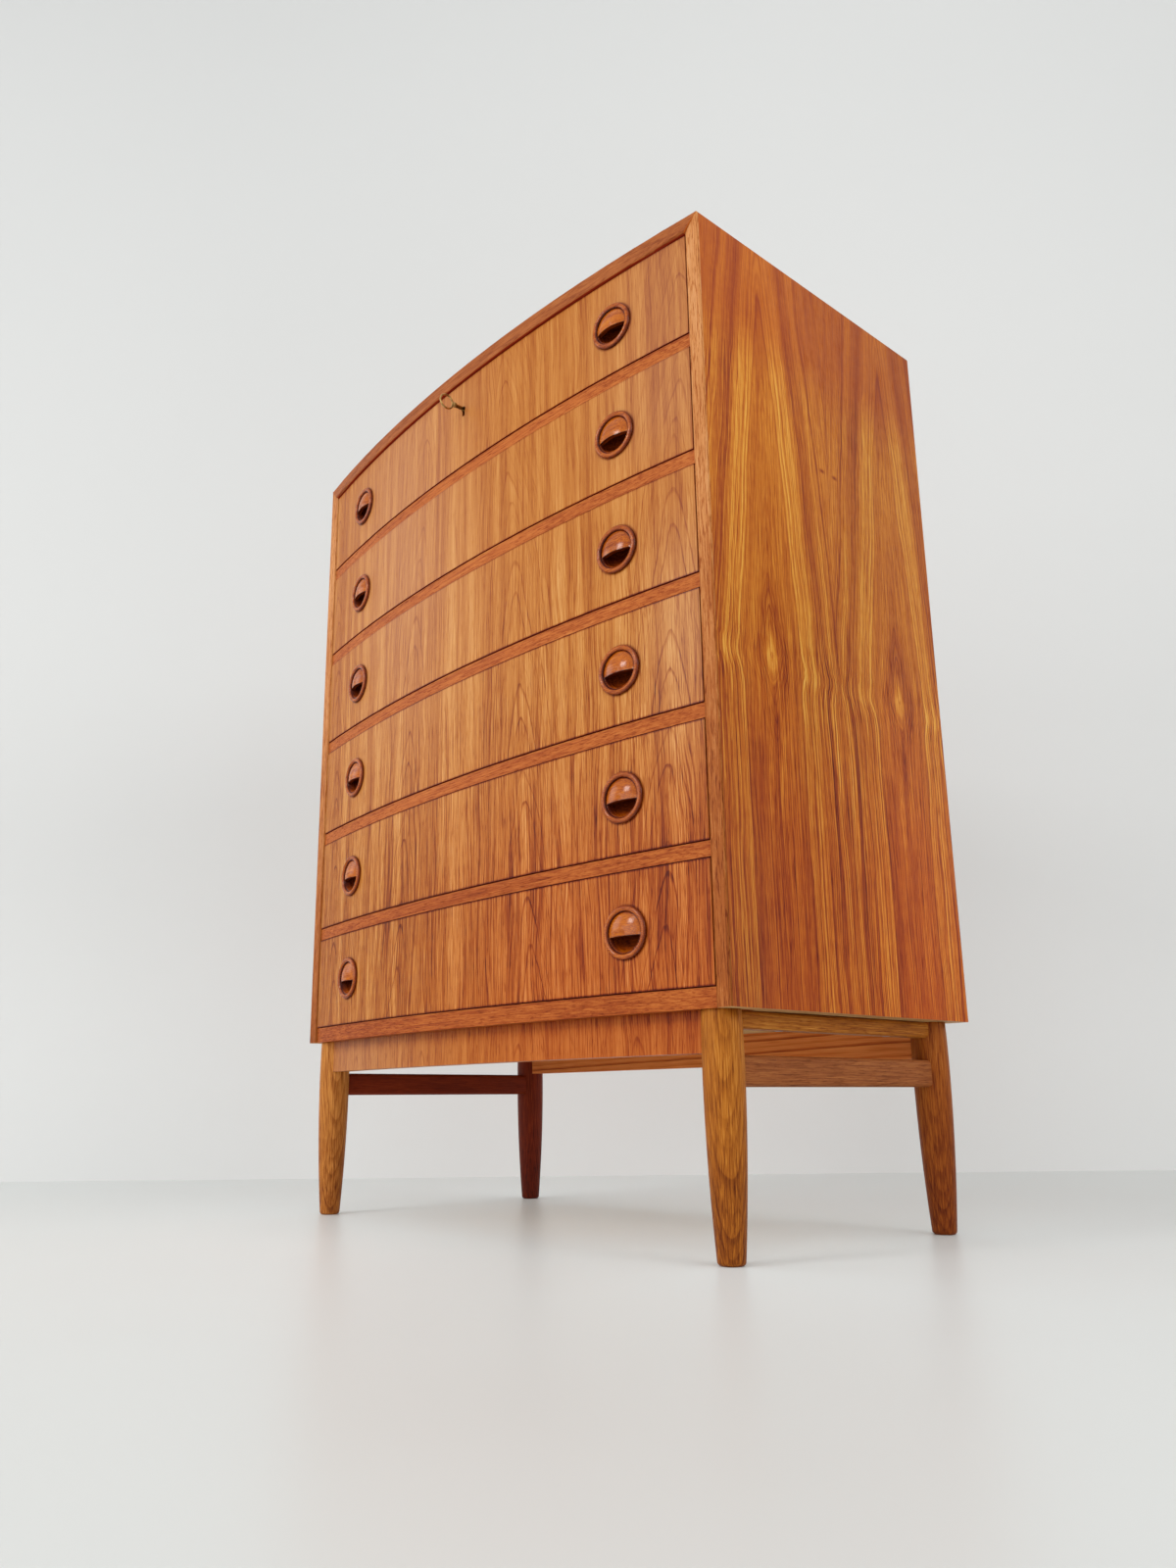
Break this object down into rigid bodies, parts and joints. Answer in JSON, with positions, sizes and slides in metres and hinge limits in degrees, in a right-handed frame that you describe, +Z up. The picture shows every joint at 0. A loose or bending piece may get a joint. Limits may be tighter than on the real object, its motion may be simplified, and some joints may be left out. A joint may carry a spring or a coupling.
{
  "type": "bow front chest of drawers",
  "caption": "Tall chest of drawers with a gently bowed front, turned eyelid pulls, a key in its top drawer and a stand of round tapered legs.",
  "frame": {"origin": "on the floor, under the middle of the overall box, which runs from the tip of the key's bow to the back edges of the side panels", "axes": "+X to the right as seen from the front, +Y from the bowed front to the straight back, +Z up"},
  "size_m": [0.8, 0.4817, 1.113],
  "materials": {
    "teak_veneer": "satin oiled teak veneer with upright grain",
    "teak_rail": "satin solid teak with level grain",
    "turned_teak": "polished turned teak",
    "stand_oak": "satin oak",
    "pine": "planed pine",
    "beech": "planed beech",
    "plywood": "bare plywood",
    "drawer_box_wood": "planed light wood, waxed",
    "key_brass": "worn brass",
    "lock_brass": "brass plate",
    "screw_steel": "zinc-plated steel"
  },
  "bodies": {
    "case": {"back_apron": "pine", "back_panel": "plywood", "back_screws": "screw_steel", "bottom_panel": "plywood", "bottom_rail": "teak_rail", "divider_1": "teak_rail", "divider_2": "teak_rail", "divider_3": "teak_rail", "divider_4": "teak_rail", "divider_5": "teak_rail", "front_apron": "teak_veneer", "leg_back_left": "stand_oak", "leg_back_right": "stand_oak", "leg_front_left": "stand_oak", "leg_front_right": "stand_oak", "runners_left": "beech", "runners_right": "beech", "side_panel_left": "teak_veneer", "side_panel_right": "teak_veneer", "side_stretcher_left": "stand_oak", "side_stretcher_right": "stand_oak", "stand_screws": "screw_steel", "top_panel": "teak_veneer", "upper_rail_left": "stand_oak", "upper_rail_right": "stand_oak"},
    "drawer_1": {"drawer_1_front": "teak_veneer", "drawer_1_sides": "drawer_box_wood", "drawer_1_back": "drawer_box_wood", "drawer_1_bottom": "plywood", "drawer_1_pulls": "turned_teak", "lock_case": "lock_brass"},
    "drawer_2": {"drawer_2_front": "teak_veneer", "drawer_2_sides": "drawer_box_wood", "drawer_2_back": "drawer_box_wood", "drawer_2_bottom": "plywood", "drawer_2_pulls": "turned_teak"},
    "drawer_3": {"drawer_3_front": "teak_veneer", "drawer_3_sides": "drawer_box_wood", "drawer_3_back": "drawer_box_wood", "drawer_3_bottom": "plywood", "drawer_3_pulls": "turned_teak"},
    "drawer_4": {"drawer_4_front": "teak_veneer", "drawer_4_sides": "drawer_box_wood", "drawer_4_back": "drawer_box_wood", "drawer_4_bottom": "plywood", "drawer_4_pulls": "turned_teak"},
    "drawer_5": {"drawer_5_front": "teak_veneer", "drawer_5_sides": "drawer_box_wood", "drawer_5_back": "drawer_box_wood", "drawer_5_bottom": "plywood", "drawer_5_pulls": "turned_teak"},
    "drawer_6": {"drawer_6_front": "teak_veneer", "drawer_6_sides": "drawer_box_wood", "drawer_6_back": "drawer_box_wood", "drawer_6_bottom": "plywood", "drawer_6_pulls": "turned_teak"},
    "lock_bolt": {"lock_bolt": "lock_brass"},
    "key": {"key": "key_brass"}
  },
  "joints": [
    {"name": "drawer_1_slide", "type": "slide", "parent": "case", "child": "drawer_1", "axis": [0, -1, 0], "range_m": [0, 0.3]},
    {"name": "drawer_2_slide", "type": "slide", "parent": "case", "child": "drawer_2", "axis": [0, -1, 0], "range_m": [0, 0.3]},
    {"name": "drawer_3_slide", "type": "slide", "parent": "case", "child": "drawer_3", "axis": [0, -1, 0], "range_m": [0, 0.3]},
    {"name": "drawer_4_slide", "type": "slide", "parent": "case", "child": "drawer_4", "axis": [0, -1, 0], "range_m": [0, 0.3]},
    {"name": "drawer_5_slide", "type": "slide", "parent": "case", "child": "drawer_5", "axis": [0, -1, 0], "range_m": [0, 0.3]},
    {"name": "drawer_6_slide", "type": "slide", "parent": "case", "child": "drawer_6", "axis": [0, -1, 0], "range_m": [0, 0.3]},
    {"name": "key_turn", "type": "hinge", "parent": "drawer_1", "child": "key", "pos_m": [0, -0.20235, 1.051], "axis": [0, -1, 0], "range_deg": [0, 90]},
    {"name": "bolt_lift", "type": "slide", "parent": "drawer_1", "child": "lock_bolt", "axis": [0, 0, 1], "range_m": [0, 0.0065]}
  ],
  "couplings": [
    {"joint": "key_turn", "follows": "bolt_lift", "rad_per_m": 241.6}
  ]
}
